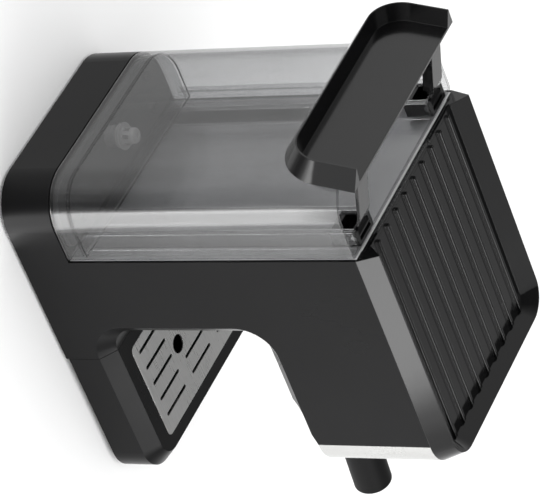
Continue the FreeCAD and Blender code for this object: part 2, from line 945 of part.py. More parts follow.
def grille():
    low = tray_top_z - grille_sheet
    plate = grille_plan(0, low, tray_top_z)
    middle_y = tray_seam_y - tray_gap - 54.5
    cuts = []
    for row in (-2, -1, 0, 1, 2):
        for column in (-1, 0, 1):
            if row or column:
                cuts.append(
                    slot(column * slot_column_pitch, middle_y + row * slot_row_pitch, low - 1,
                         tray_top_z + 1)
                )
    for x in (-finger_hole_x, finger_hole_x):
        cuts.append(post(finger_hole_r, x, middle_y, low - 1, tray_top_z + 1))
    return plate.cut(Part.makeCompound(cuts))


# ------------------------------------------------------------------ water path
def tank_seat():
    """Raised seat on the deck that the tank's skirt drops over."""
    def form(inset, z0, z1):
        return plan_solid(
            half_width - tank_wall - seat_inset - inset, tank_front_y + tank_wall + seat_inset + inset,
            rear_y - tank_wall - seat_inset - inset, 6.0, rear_radius - tank_wall - seat_inset - inset,
            z0, z1,
        )
    seat = form(0, deck_z, seat_top_z).cut(form(wall, deck_z - 1, seat_top_z - wall))
    for sx in (-1, 1):
        for x, y in ((74.0, port_y + 1.0), (66.0, tank_front_y + 16.0)):
            seat = seat.fuse(post(4.0, sx * x, y, seat_top_z - wall, seat_top_z + 3.5))
    return seat.cut(post(port_radius + slip, 0, port_y, deck_z - 1, seat_top_z + 1))


def inlet_port():
    """Upright tube under the tank's valve, with the pin inside it that the valve comes down on."""
    floor = deck_z - wall
    flange_low = floor - 2.5
    tube = post(port_radius, 0, port_y, flange_low, seat_top_z + 7.0)
    flange = post(port_radius + 4.0, 0, port_y, flange_low, floor)
    nipple = post(hose_radius - 1.5, 0, port_y, floor - 14.0, flange_low)
    port = join([tube, flange, nipple])
    bore = ring(4.5, 1.2, 0, port_y, floor, seat_top_z + 8.0)
    groove = ring(port_radius + 1, port_radius - 1.0, 0, port_y, seal_z(), seal_z() + 2.0)
    neck = post(1.4, 0, port_y, floor - 15.0, floor - 1.5)
    chamber = post(4.2, 0, port_y, floor - 2.0, floor - 1.0)
    port = port.cut(bore).cut(groove).cut(neck).cut(chamber)
    for turn in (90, 210, 330):
        x = 2.8 * math.cos(math.radians(turn))
        y = port_y + 2.8 * math.sin(math.radians(turn))
        port = port.cut(post(1.0, x, y, floor - 1.5, floor + 0.5))
    return port


def seal_z():
    return seat_top_z + 3.6


def inlet_seal():
    return ring(valve_bore - 0.2, port_radius - 1.0, 0, port_y, seal_z(), seal_z() + 2.0)


def suction_hose():
    low_z = foot_height + 14.0
    top = deck_z - wall - 2.5
    points = [V(0, port_y, top), V(0, port_y, low_z), V(0, pump_y, low_z), V(0, pump_y, pump_low_z)]
    hose = pipe(points, 12.0, hose_radius)
    return hose.cut(post(hose_radius - 1.5, 0, port_y, top - 12.0, top + 1))


def pressure_hose():
    top = pump_low_z + pump_height
    run_z = button_z - 6.0
    points = [V(0, pump_y, top), V(0, pump_y, run_z), V(0, group_y + boiler_radius - 4, run_z)]
    hose = pipe(points, 14.0, pipe_radius)
    return hose.cut(post(boiler_radius, 0, group_y, run_z - 10, run_z + 10))


def pump_body():
    body = post(pump_radius, 0, pump_y, pump_low_z + 8.0, pump_low_z + pump_height - 10.0)
    inlet = post(hose_radius + 2.0, 0, pump_y, pump_low_z, pump_low_z + 8.0)
    outlet = post(pipe_radius + 3.0, 0, pump_y, pump_low_z + pump_height - 10.0,
                  pump_low_z + pump_height)
    return join([body, inlet, outlet])


def pump_coil():
    half = coil_width / 2
    mid = pump_low_z + pump_height / 2
    frame = block(-half, half, pump_y - half, pump_y + half, mid - coil_height / 2,
                  mid + coil_height / 2)
    frame = frame.makeFillet(3.0, [e for e in frame.Edges if abs(e.tangentAt(0).z) > 0.9])
    return frame.cut(post(pump_radius, 0, pump_y, 0, rim_top_z))


def pump_mounts():
    """Two rubber saddles that hold the pump to the rear panel."""
    reach = tank_seam_y - wall
    mounts = []
    for z in (pump_low_z + 11.0, pump_low_z + pump_height - 21.0):
        saddle = block(-16, 16, pump_y, reach, z, z + 8.0)
        saddle = saddle.fuse(post(pump_radius + 4.0, 0, pump_y, z, z + 8.0))
        mounts.append(saddle.cut(post(pump_radius, 0, pump_y, z - 1, z + 9)))
    return Part.makeCompound(mounts)


def tank_plan(inset, z0, z1):
    return plan_solid(
        half_width - inset, tank_front_y + inset, rear_y - inset, max(0.0, 3.0 - inset),
        rear_radius - inset, z0, z1,
    )


def lid_guides(side):
    """Two L-shaped rails on the tank's front wall that a slide block runs between."""
    low = tank_floor_z + tank_wall - 0.5
    root = tank_front_y + tank_wall - 0.5
    front = tank_front_y + guide_depth
    rails = []
    spans = ((guide_inner_x - guide_wall, guide_inner_x, guide_inner_x + guide_lip),
             (guide_outer_x, guide_outer_x + guide_wall, guide_outer_x - guide_lip))
    for near, far, lip in spans:
        rails.append(block(near, far, root, front + 2.0, low, tank_rim_z))
        rails.append(block(min(near, lip), max(far, lip), front, front + 2.0, low, tank_rim_z))
    rails = join(rails)
    return rails if side > 0 else mirrored(rails)


def water_tank():
    outer = tank_plan(0, deck_z + tank_gap, tank_rim_z)
    inside = tank_plan(tank_wall, tank_floor_z + tank_wall, tank_rim_z + 1)
    under = tank_plan(tank_wall, deck_z, tank_floor_z)
    tank = outer.cut(inside).cut(under)
    tank = tank.fuse(lid_guides(1)).fuse(lid_guides(-1)).removeSplitter()
    dip = block(-rear_dip_half, rear_dip_half, port_y, rear_y + 5, tank_rim_z - rear_dip, rim_top_z)
    tank = tank.cut(dip)
    return tank.cut(post(valve_tube_radius, 0, port_y, tank_floor_z - 1, tank_floor_z + 10))


def valve_body():
    floor_top = tank_floor_z + tank_wall
    tube = post(valve_tube_radius, 0, port_y, seat_top_z + 1.5, floor_top)
    flange = post(valve_tube_radius + 1.6, 0, port_y, floor_top, floor_top + 2.2)
    cage = post(valve_cage_radius, 0, port_y, floor_top + 2.2, floor_top + 13.0)
    cage = cage.makeFillet(2.0, [cage.Edges[0]])
    body = join([tube, flange, cage])
    body = body.cut(post(valve_bore, 0, port_y, seat_top_z, tank_floor_z - 1.0))
    body = body.cut(post(valve_seat_bore, 0, port_y, seat_top_z, floor_top + 4))
    body = body.cut(post(valve_cage_radius - 1.4, 0, port_y, floor_top, floor_top + 11.0))
    window = block(-1.8, 1.8, -20, 20, floor_top + 3.5, floor_top + 9.0)
    for turn in (0, 60, 120):
        cut = window.copy()
        cut.rotate(V(0, 0, 0), V(0, 0, 1), turn)
        cut.translate(V(0, port_y, 0))
        body = body.cut(cut)
    return body.cut(post(2.0, 0, port_y, floor_top, floor_top + 20.0))


def valve_plunger():
    floor_top = tank_floor_z + tank_wall
    stem = post(1.6, 0, port_y, seat_top_z + 8.0, floor_top + 11.0 + valve_stroke)
    disc = post(valve_seat_bore + 1.0, 0, port_y, floor_top + 1.2, floor_top + 3.0)
    return join([stem, disc])


def valve_spring():
    """Coil of half turns, each a half ring tipped so that it climbs half a pitch."""
    floor_top = tank_floor_z + tank_wall
    low = floor_top + 3.9
    half_turns = 8
    climb = (floor_top + 10.1 - low) / half_turns
    reach = math.hypot(spring_radius, climb / 2)
    tip = math.degrees(math.atan2(climb / 2, spring_radius))
    coil = []
    for k in range(half_turns):
        half = Part.makeTorus(reach, spring_wire, V(0, 0, 0), V(0, 0, 1), 0, 360, 180)
        half.rotate(V(0, 0, 0), V(0, 1, 0), tip)
        half.rotate(V(0, 0, 0), V(0, 0, 1), 180 * (k % 2))
        half.translate(V(0, port_y, low + (k + 0.5) * climb))
        coil.append(half)
    return join(coil)


# ------------------------------------------------------------------ lid mechanism
def opened(shape):
    """Swing a piece built in the closed place to the open place: turn it back, lift it."""
    shape.rotate(V(0, hinge_y, hinge_closed_z), V(1, 0, 0), -lid_open_angle)
    shape.translate(V(0, 0, slide_travel))
    return shape


def lid_plan(side_inset, rear_inset, radius, front, z):
    rear = lid_edge_y + lid_depth - rear_inset
    return (half_width - side_inset, front, rear, 0, radius, z)


def tank_lid():
    top = lid_under_z + lid_height
    outer = plan_loft(
        lid_plan(0, 0, rear_radius, lid_edge_y, lid_under_z),
        lid_plan(lid_side_lean, lid_rear_lean, lid_rim_radius, lid_edge_y, top),
    )
    side_edge = lid_side_lean + rim_edge
    rear_edge = lid_rear_lean + rim_edge
    edge_radius = lid_rim_radius - rim_edge
    front = lid_edge_y - 5.0
    well = plan_loft(
        lid_plan(side_edge + lid_rim_foot, rear_edge + lid_rim_foot, edge_radius - lid_rim_foot,
                 front, lid_under_z + lid_plate),
        lid_plan(side_edge, rear_edge, edge_radius, front, top),
    )
    return opened(outer.cut(well))


def lid_arms():
    """Bent tongues with a stiffening flange, from the hinge pins to the lid's underside."""
    arms = []
    low = hinge_closed_z
    knee_y = hinge_y - arm_knee_shift
    knee_z = low + arm_knee_height
    root_y = lid_edge_y + arm_root_offset
    half = arm_sheet / 2
    tongue_line = [
        V(0, hinge_y - half, low), V(0, knee_y - half, knee_z), V(0, root_y - half, lid_under_z),
        V(0, root_y + half, lid_under_z), V(0, knee_y + half, knee_z), V(0, hinge_y + half, low),
    ]
    flange_line = [
        V(0, knee_y, knee_z - 4.0), V(0, root_y, lid_under_z),
        V(0, root_y + arm_flange, lid_under_z), V(0, knee_y + arm_flange, knee_z),
    ]
    for side in (-1, 1):
        inner = arm_inner_x
        outer = arm_inner_x + arm_width
        tongue = Part.Face(polygon_wire(tongue_line)).extrude(V(arm_width, 0, 0))
        flange = Part.Face(polygon_wire(flange_line)).extrude(V(arm_sheet, 0, 0))
        tongue.translate(V(inner, 0, 0))
        flange.translate(V(inner, 0, 0))
        knuckle = rod_x(knuckle_radius, inner, outer, hinge_y, low)
        arm = join([tongue, flange, knuckle])
        arm = arm.cut(rod_x(pin_radius + running_gap, inner - 1, outer + 1, hinge_y, low))
        arms.append(opened(arm if side > 0 else mirrored(arm)))
    return Part.makeCompound(arms)


def slide_blocks():
    blocks = []
    inner = guide_inner_x + slip
    outer = guide_outer_x - slip
    back = tank_front_y + tank_wall + slip
    front = tank_front_y + guide_depth - slip
    plate_front = hinge_y - knuckle_radius - slip
    low = hinge_open_z - 18.0
    for side in (-1, 1):
        plate = block(inner, outer, back, plate_front, low, hinge_open_z + 4.0)
        ears = [
            block(inner, arm_inner_x - slip, back, front, low, hinge_open_z + 4.0),
            block(arm_inner_x + arm_width + slip, outer, back, front, low, hinge_open_z + 4.0),
        ]
        foot = block(inner, outer, back, front, low, low + 5.0)
        slide = join([plate, foot] + ears)
        slide = slide.cut(rod_x(pin_radius, inner - 1, outer + 1, hinge_y, hinge_open_z))
        blocks.append(slide if side > 0 else mirrored(slide))
    return Part.makeCompound(blocks)


def hinge_pins():
    pin = rod_x(pin_radius, guide_inner_x + slip, guide_outer_x - slip, hinge_y, hinge_open_z)
    return Part.makeCompound([pin, mirrored(pin)])


# ------------------------------------------------------------------ whole machine
def build():
    walls = housing_walls()
    housing = outer_housing(walls)
    for boss in screw_bosses():
        housing = housing.fuse(boss)
    xs = button_places()
    return {
        "outer_housing": housing.removeSplitter(),
        "column_front_panel": column_front_panel(walls),
        "head_underside": head_underside(walls),
        "rear_panel": rear_panel(),
        "base_plate": base_plate(),
        "base_screws": base_screws(),
        "rubber_feet": rubber_feet(),
        "cord_gland": cord_gland(),
        "top_cover": top_cover(),
        "cup_tray": cup_tray(),
        "front_panel": front_panel(),
        "button_carrier": button_carrier(),
        "switch_block": switch_block(),
        "control_board": control_board(),
        "indicator_lenses": indicator_lenses(),
        "power_button": push_button(xs[0]),
        "brew_button": push_button(xs[1]),
        "steam_button": push_button(xs[2]),
        "steam_knob": steam_knob(),
        "steam_spindle": steam_spindle(),
        "steam_valve": steam_valve(),
        "steam_feed_pipe": steam_feed_pipe(),
        "wand_feed_pipe": wand_feed_pipe(),
        "wand_socket": wand_socket(),
        "wand_tube": wand_tube(),
        "wand_grip": wand_grip(),
        "wand_nozzle": wand_nozzle(),
        "group_head": group_head(),
        "bayonet_collar": bayonet_collar(),
        "group_gasket": group_gasket(),
        "shower_screen": shower_screen(),
        "shower_screw": shower_screw(),
        "boiler_shell": boiler_shell(),
        "boiler_lid": boiler_lid(),
        "boiler_screws": boiler_screws(),
        "thermostat": thermostat(),
        "pump_body": pump_body(),
        "pump_coil": pump_coil(),
        "pump_mounts": pump_mounts(),
        "suction_hose": suction_hose(),
        "pressure_hose": pressure_hose(),
        "portafilter_ring": portafilter_ring(),
        "filter_basket": filter_basket(),
        "portafilter_spout": portafilter_spout(),
        "handle_stem": handle_stem(),
        "handle_grip": handle_grip(),
        "drip_tray": drip_tray(),
        "grille": grille(),
        "tank_seat": tank_seat(),
        "inlet_port": inlet_port(),
        "inlet_seal": inlet_seal(),
        "water_tank": water_tank(),
        "valve_body": valve_body(),
        "valve_plunger": valve_plunger(),
        "valve_spring": valve_spring(),
        "tank_lid": tank_lid(),
        "lid_arms": lid_arms(),
        "slide_blocks": slide_blocks(),
        "hinge_pins": hinge_pins(),
    }


def main():
    os.makedirs("parts", exist_ok=True)
    nodes = build()
    box = Part.makeCompound(list(nodes.values())).optimalBoundingBox(False)
    middle_y = (box.YMin + box.YMax) / 2
    print("moved along Y by", round(-middle_y, 4), "box", box)
    for name, shape in nodes.items():
        shape.translate(V(0, -middle_y, 0))
        shape.exportStep("parts/" + name + ".step")


main()
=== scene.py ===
import json
import math

import bmesh
import bpy
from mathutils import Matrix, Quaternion, Vector


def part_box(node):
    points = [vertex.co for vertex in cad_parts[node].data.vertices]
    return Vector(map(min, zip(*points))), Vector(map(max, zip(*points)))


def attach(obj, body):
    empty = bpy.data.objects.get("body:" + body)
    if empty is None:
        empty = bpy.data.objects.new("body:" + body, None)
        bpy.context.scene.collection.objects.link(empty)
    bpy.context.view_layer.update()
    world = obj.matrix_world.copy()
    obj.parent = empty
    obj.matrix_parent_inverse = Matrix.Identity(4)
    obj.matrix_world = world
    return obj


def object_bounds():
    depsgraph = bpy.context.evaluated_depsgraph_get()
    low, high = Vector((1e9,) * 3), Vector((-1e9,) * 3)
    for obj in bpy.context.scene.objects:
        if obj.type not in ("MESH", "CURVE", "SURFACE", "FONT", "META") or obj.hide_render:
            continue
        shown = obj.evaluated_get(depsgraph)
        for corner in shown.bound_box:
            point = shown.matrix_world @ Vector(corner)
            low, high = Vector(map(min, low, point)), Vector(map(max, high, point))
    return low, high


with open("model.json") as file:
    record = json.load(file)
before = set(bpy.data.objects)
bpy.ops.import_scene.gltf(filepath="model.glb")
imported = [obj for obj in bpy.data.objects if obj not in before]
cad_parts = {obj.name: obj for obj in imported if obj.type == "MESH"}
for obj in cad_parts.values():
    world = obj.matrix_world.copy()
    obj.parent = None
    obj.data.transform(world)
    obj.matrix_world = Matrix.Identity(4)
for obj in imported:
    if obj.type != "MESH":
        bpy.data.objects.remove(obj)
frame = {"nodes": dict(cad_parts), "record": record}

CAD_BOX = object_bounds()
MM = 0.001

# The view: where the camera stands in metres, which way it looks in degrees, and its roll, which
# lays the machine on its back.
CAMERA_PLACE = Vector((-1.80695, 1.54082, 1.48907))
CAMERA_AZIMUTH = 230.305
CAMERA_ELEVATION = 29.719
CAMERA_ROLL = 89.61
CAMERA_LENS = 236.97
CAMERA_SENSOR = 36.0

SLOT_OF = {part["node"]: part["material_slot"] for part in frame["record"]["subparts"]}


# ------------------------------------------------------------------ node trees
class Tree:
    """A material's node tree, with the few calls that the materials below are made of."""

    def __init__(self, name):
        self.material = bpy.data.materials.new(name)
        self.material.use_nodes = True
        self.nodes = self.material.node_tree.nodes
        self.links = self.material.node_tree.links
        self.nodes.clear()
        self.place = self.add("ShaderNodeTexCoord").outputs["Object"]

    def add(self, kind, inputs=None, **settings):
        node = self.nodes.new(kind)
        for key, value in settings.items():
            setattr(node, key, value)
        for key, value in (inputs or {}).items():
            if isinstance(value, bpy.types.NodeSocket):
                self.links.new(value, node.inputs[key])
            else:
                node.inputs[key].default_value = value
        return node

    def stretched(self, x, y, z):
        """Object coordinates scaled by a different amount along each axis."""
        return self.add("ShaderNodeMapping", {"Vector": self.place, "Scale": (x, y, z)}).outputs[0]

    def noise(self, scale, detail=3.0, rough=0.5, vector=None):
        inputs = {"Vector": vector or self.place, "Scale": scale, "Detail": detail, "Roughness": rough}
        return self.add("ShaderNodeTexNoise", inputs).outputs["Fac"]

    def spread(self, value, low, high, start=0.3, end=0.7):
        """value from start to end, mapped to low to high."""
        inputs = {"Value": value, "From Min": start, "From Max": end, "To Min": low, "To Max": high}
        return self.add("ShaderNodeMapRange", inputs).outputs[0]

    def maths(self, operation, a, b):
        return self.add("ShaderNodeMath", {0: a, 1: b}, operation=operation).outputs[0]

    def tones(self, value, dark, light):
        """A colour between dark and light."""
        ramp = self.add("ShaderNodeValToRGB", {"Fac": value})
        ramp.color_ramp.elements[0].position = 0.25
        ramp.color_ramp.elements[0].color = (*dark, 1)
        ramp.color_ramp.elements[1].position = 0.75
        ramp.color_ramp.elements[1].color = (*light, 1)
        return ramp.outputs["Color"]

    def over(self, share, under, colour):
        """under, with colour laid over it where share is 1."""
        mix = self.add("ShaderNodeMix", {0: share, 6: under}, data_type="RGBA")
        mix.inputs[7].default_value = (*colour, 1)
        return mix.outputs[2]

    def soft_edges(self, radius):
        """The normal of a surface whose edges are rounded to that radius."""
        return self.add("ShaderNodeBevel", {"Radius": radius}, samples=4).outputs[0]

    def edges(self, soft):
        """1 on edges and 0 on flat and gently curved surfaces."""
        true = self.add("ShaderNodeNewGeometry").outputs["Normal"]
        agree = self.add("ShaderNodeVectorMath", {0: soft, 1: true}, operation="DOT_PRODUCT")
        return self.spread(agree.outputs["Value"], 1.0, 0.0, 0.8, 0.98)

    def bump(self, height, strength, depth, normal=None):
        inputs = {"Height": height, "Strength": strength, "Distance": depth}
        if normal is not None:
            inputs["Normal"] = normal
        return self.add("ShaderNodeBump", inputs).outputs[0]

    def finish(self, shader):
        output = self.add("ShaderNodeOutputMaterial")
        self.links.new(shader, output.inputs["Surface"])
        return self.material


def scaled(colour, factor):
    return tuple(min(1.0, part * factor) for part in colour)


# ------------------------------------------------------------------ materials
def plastic(name, colour, gloss, grain=900, depth=0.00002, edge=0.0004, scuffed_lit_tone=1.8, scuffed_lit_share=0.35, shine=0.5):
    """Moulded plastic: fine texture, slow tone changes, handling marks, and paler edges that are partly
    rubbed wear and partly a painted edge highlight.
    """
    tree = Tree(name)
    soft = tree.soft_edges(edge)
    cloud = tree.noise(14, 4)
    base = tree.tones(cloud, scaled(colour, 0.86), scaled(colour, 1.14))
    # Paler edges: part rubbed wear, part painted highlight along the edges.
    scuffed_and_lit_edges = tree.maths("MULTIPLY", tree.edges(soft), tree.spread(tree.noise(60, 4), 0.0, scuffed_lit_share))
    base = tree.over(scuffed_and_lit_edges, base, scaled(colour, scuffed_lit_tone))
    smears = tree.noise(9, 5, 0.6, tree.stretched(1.0, 1.0, 0.35))
    marks = tree.spread(smears, gloss - 0.05, gloss + 0.07)
    normal = tree.bump(tree.noise(grain, 2), 0.25, depth, soft)
    shader = tree.add("ShaderNodeBsdfPrincipled", {
        "Base Color": base, "Roughness": marks, "Normal": normal, "Specular IOR Level": shine,
    })
    return tree.finish(shader.outputs[0])


def metal(name, colour, gloss, grain=(1.0, 1.0, 1.0), scale=200, depth=0.00001, edge=0.0003, stain=0.0):
    """Metal with a brushed or cast grain along the axis whose number is smallest."""
    tree = Tree(name)
    soft = tree.soft_edges(edge)
    lines = tree.noise(scale, 5, 0.65, tree.stretched(*grain))
    cloud = tree.noise(22, 3)
    base = tree.tones(lines, scaled(colour, 0.9), scaled(colour, 1.05))
    base = tree.over(tree.spread(cloud, 0.0, stain, 0.45, 0.75), base, scaled(colour, 0.5))
    rough = tree.maths("ADD", tree.spread(lines, -0.05, 0.06), tree.spread(cloud, gloss - 0.03, gloss + 0.04))
    shader = tree.add("ShaderNodeBsdfPrincipled", {
        "Base Color": base, "Metallic": 1.0, "Roughness": rough,
        "Normal": tree.bump(lines, 0.3, depth, soft),
    })
    return tree.finish(shader.outputs[0])


def rubber(name, colour, gloss=0.6):
    tree = Tree(name)
    soft = tree.soft_edges(0.0004)
    dust = tree.spread(tree.noise(45, 5, 0.7), 0.0, 0.5, 0.5, 0.8)
    base = tree.over(dust, tree.tones(tree.noise(300, 2), scaled(colour, 0.8), scaled(colour, 1.2)),
                     scaled(colour, 2.2))
    rough = tree.spread(tree.noise(80, 3), gloss - 0.08, gloss + 0.12)
    shader = tree.add("ShaderNodeBsdfPrincipled", {
        "Base Color": base, "Roughness": rough, "Normal": tree.bump(tree.noise(1500, 2), 0.4, 0.00003, soft),
    })
    return tree.finish(shader.outputs[0])


def smoked_clear(name):
    """Smoke-tinted clear plastic: level edges carry a painted dark line in place of refraction shade, upright
    ones glint, walls seen edge on are denser.
    """
    tree = Tree(name)
    soft = tree.soft_edges(0.0010)
    edge = tree.edges(soft)
    split = tree.add("ShaderNodeSeparateXYZ", {"Vector": soft})
    level = tree.spread(tree.maths("ABSOLUTE", split.outputs["Z"], 0.0), 0.0, 1.0, 0.1, 0.4)
    upright = tree.maths("SUBTRACT", 1.0, level)
    facing = tree.add("ShaderNodeLayerWeight", {"Blend": 0.5, "Normal": soft}).outputs["Facing"]
    flow = tree.noise(30, 4, 0.6, tree.stretched(1.0, 1.0, 0.12))
    clear = tree.tones(flow, (0.86, 0.862, 0.865), (0.91, 0.912, 0.915))
    tint = tree.over(tree.maths("POWER", facing, 2.5), clear, (0.50, 0.503, 0.508))
    # Painted shade: level edges let almost nothing through, standing in for the dark lines refraction gives
    # there.
    tint = tree.over(tree.maths("MULTIPLY", edge, level), tint, (0.04, 0.04, 0.042))
    through = tree.add("ShaderNodeBsdfTransparent", {"Color": tint})
    wipe = tree.spread(tree.noise(12, 5, 0.6, tree.stretched(1.0, 1.0, 0.3)), 0.01, 0.05)
    ripple = tree.bump(flow, 0.12, 0.0003, soft)
    mirror = tree.add("ShaderNodeBsdfGlossy", {"Roughness": wipe, "Normal": ripple})
    skin = tree.maths("ADD", tree.maths("MULTIPLY", tree.maths("POWER", facing, 4.0), 0.9), 0.075)
    glint = tree.maths("MULTIPLY", tree.maths("MULTIPLY", edge, upright), 0.8)
    share = tree.maths("MINIMUM", tree.maths("ADD", skin, glint), 0.95)
    mixed = tree.add("ShaderNodeMixShader", {0: share, 1: through.outputs[0], 2: mirror.outputs[0]})
    return tree.finish(mixed.outputs[0])


def cloudy_clear(name):
    """Half-clear moulding with a glossy skin."""
    tree = Tree(name)
    soft = tree.soft_edges(0.0005)
    body = tree.tones(tree.noise(200, 3), (0.62, 0.62, 0.61), (0.75, 0.75, 0.74))
    skin = tree.add("ShaderNodeBsdfPrincipled", {
        "Base Color": body, "Roughness": tree.spread(tree.noise(150, 3), 0.08, 0.2), "Normal": soft,
    })
    tint = tree.tones(tree.noise(90, 2), (0.7, 0.7, 0.7), (0.85, 0.85, 0.85))
    through = tree.add("ShaderNodeBsdfTransparent", {"Color": tint})
    share = tree.spread(tree.edges(soft), 0.35, 0.95, 0.0, 1.0)
    mixed = tree.add("ShaderNodeMixShader", {0: share, 1: through.outputs[0], 2: skin.outputs[0]})
    return tree.finish(mixed.outputs[0])


def lamp_lens(name):
    tree = Tree(name)
    glow = tree.tones(tree.noise(400, 2), (0.30, 0.27, 0.22), (0.42, 0.38, 0.30))
    rough = tree.spread(tree.noise(150, 3), 0.08, 0.2)
    shader = tree.add("ShaderNodeBsdfPrincipled", {
        "Base Color": glow, "Roughness": rough, "Normal": tree.soft_edges(0.0003),
        "Subsurface Weight": 0.3, "Subsurface Scale": 0.002,
    })
    return tree.finish(shader.outputs[0])


def circuit_board(name):
    """Green board with paler tracks and a lacquer whose roughness varies at random."""
    tree = Tree(name)
    cells = tree.add("ShaderNodeTexBrick", {
        "Vector": tree.place, "Scale": 260.0, "Mortar Size": 0.03, "Color1": (0.004, 0.05, 0.02, 1),
        "Color2": (0.006, 0.065, 0.028, 1), "Mortar": (0.03, 0.16, 0.06, 1),
    })
    rough = tree.spread(tree.noise(300, 3), 0.3, 0.5)
    shader = tree.add("ShaderNodeBsdfPrincipled", {
        "Base Color": cells.outputs["Color"], "Roughness": rough,
        "Normal": tree.bump(cells.outputs["Fac"], 0.3, 0.0001),
    })
    return tree.finish(shader.outputs[0])


MATERIALS = {
    "body_plastic": plastic("body_plastic", (0.006, 0.006, 0.0063), 0.30, scuffed_lit_tone=3.0, shine=0.14),
    "cover_plastic": plastic(
        "cover_plastic", (0.004, 0.004, 0.0042), 0.10, grain=600, depth=0.000012, edge=0.0006, scuffed_lit_tone=5.0,
    ),
    "inner_plastic": plastic("inner_plastic", (0.018, 0.018, 0.019), 0.42, depth=0.00004),
    "knob_plastic": plastic("knob_plastic", (0.012, 0.012, 0.0125), 0.28, edge=0.0005),
    "handle_plastic": plastic(
        "handle_plastic", (0.006, 0.006, 0.0063), 0.55, edge=0.0008, scuffed_lit_share=0.5, shine=0.16,
    ),
    "pump_plastic": plastic("pump_plastic", (0.35, 0.33, 0.29), 0.45, scuffed_lit_tone=0.8),
    "panel_plastic": plastic("panel_plastic", (0.62, 0.62, 0.625), 0.38, scuffed_lit_tone=1.2),
    "valve_plastic": cloudy_clear("valve_plastic"),
    "front_steel": metal("front_steel", (0.56, 0.56, 0.55), 0.24, (0.05, 1.0, 1.0), 900),
    "grille_steel": metal("grille_steel", (0.90, 0.90, 0.89), 0.30, (1.0, 0.06, 1.0), 700),
    "bright_steel": metal("bright_steel", (0.70, 0.70, 0.69), 0.16, (1.0, 1.0, 0.1), 400),
    "zinc_steel": metal("zinc_steel", (0.55, 0.56, 0.57), 0.35, stain=0.4),
    "coil_steel": metal("coil_steel", (0.30, 0.30, 0.31), 0.4, (0.1, 0.1, 1.0), stain=0.5),
    "bright_chrome": metal("bright_chrome", (0.80, 0.80, 0.80), 0.07, scale=120, depth=0.000004),
    "cast_aluminium": metal("cast_aluminium", (0.50, 0.50, 0.50), 0.45, scale=900, depth=0.00005, stain=0.3),
    "brass": metal("brass", (0.62, 0.45, 0.20), 0.28, (1.0, 1.0, 0.2), 500, stain=0.3),
    "rubber": rubber("rubber", (0.012, 0.012, 0.012)),
    "silicone": rubber("silicone", (0.30, 0.12, 0.07), 0.45),
    "hose_ptfe": rubber("hose_ptfe", (0.45, 0.45, 0.43), 0.35),
    "circuit_board": circuit_board("circuit_board"),
    "lamp_lens": lamp_lens("lamp_lens"),
    "clear_plastic": smoked_clear("clear_plastic"),
}


def dress(piece, material):
    piece.data.materials.clear()
    piece.data.materials.append(material)


for node_name, cad_node in frame["nodes"].items():
    dress(cad_node, MATERIALS[SLOT_OF[node_name]])
# The seat's paler edges are partly wear, partly painted highlight for the deck's bright outlines.
dress(frame["nodes"]["tank_seat"], plastic("seat_plastic", (0.06, 0.06, 0.061), 0.30, edge=0.0008, scuffed_lit_tone=2.5))


# ------------------------------------------------------------------ added pieces
def new_piece(name, mesh, body, material):
    """A piece that is only in the visual model and moves with that body."""
    piece = bpy.data.objects.new(name, mesh)
    bpy.context.scene.collection.objects.link(piece)
    mesh.materials.append(material)
    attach(piece, body)
    return piece


# The tank: its rear corners, its wall, its floor above its lowest edge, and the black bead along the floor's
# edge, a painted dark outline in place of the shade that edge shows through the clear walls.
TANK_CORNER = 34.2 * MM
TANK_WALL = 2.6 * MM
TANK_FLOOR = 15.3 * MM
OUTLINE_BEAD = 0.7 * MM
ARC_STEPS = 16


def round_bead(name, path, radius, sides=8):
    """A closed bead of round section along a closed path."""
    mesh = bmesh.new()
    rings = []
    count = len(path)
    for k, point in enumerate(path):
        along = (path[(k + 1) % count] - path[k - 1]).normalized()
        across = along.cross(Vector((0, 0, 1))).normalized()
        up = across.cross(along)
        ring = []
        for side in range(sides):
            turn = 2 * math.pi * side / sides
            ring.append(mesh.verts.new(point + radius * (math.cos(turn) * across + math.sin(turn) * up)))
        rings.append(ring)
    for k in range(count):
        near, far = rings[k], rings[(k + 1) % count]
        for side in range(sides):
            mesh.faces.new((near[side], near[(side + 1) % sides], far[(side + 1) % sides], far[side]))
    bmesh.ops.recalc_face_normals(mesh, faces=mesh.faces)
    made = bpy.data.meshes.new(name)
    mesh.to_mesh(made)
    mesh.free()
    for face in made.polygons:
        face.use_smooth = True
    return made


def tank_outline(inset, z):
    """The tank's plan, moved in by inset: square corners at the front and large round ones at the rear."""
    low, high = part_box("water_tank")
    radius = TANK_CORNER - inset
    left, right = low.x + inset, high.x - inset
    front, rear = low.y + inset, high.y - inset
    path = [Vector((right, front, z)), Vector((0, front, z)), Vector((left, front, z))]
    for centre_x, start in ((left + radius, 180), (right - radius, 90)):
        for step in range(ARC_STEPS + 1):
            turn = math.radians(start - 90 * step / ARC_STEPS)
            x = centre_x + radius * math.cos(turn)
            y = rear - radius + radius * math.sin(turn)
            path.append(Vector((x, y, z)))
    return path


def painted_floor_outline():
    """A black bead where the tank's floor meets its wall: a painted dark outline in place of the shade that
    edge shows through the clear walls.
    """
    floor_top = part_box("water_tank")[0].z + TANK_FLOOR
    mesh = round_bead("tank_painted_floor_outline", tank_outline(TANK_WALL, floor_top), OUTLINE_BEAD)
    tree = Tree("painted_floor_outline")
    # Near black: painted shade for the floor's outline.
    base = tree.tones(tree.noise(200, 3), (0.002, 0.002, 0.002), (0.008, 0.008, 0.008))
    shader = tree.add("ShaderNodeBsdfPrincipled", {
        "Base Color": base, "Roughness": tree.spread(tree.noise(300, 3), 0.2, 0.4),
    })
    new_piece("tank_painted_floor_outline", mesh, "tank", tree.finish(shader.outputs[0]))


painted_floor_outline()


# ------------------------------------------------------------------ studio
FLOOR_REACH = 14.0


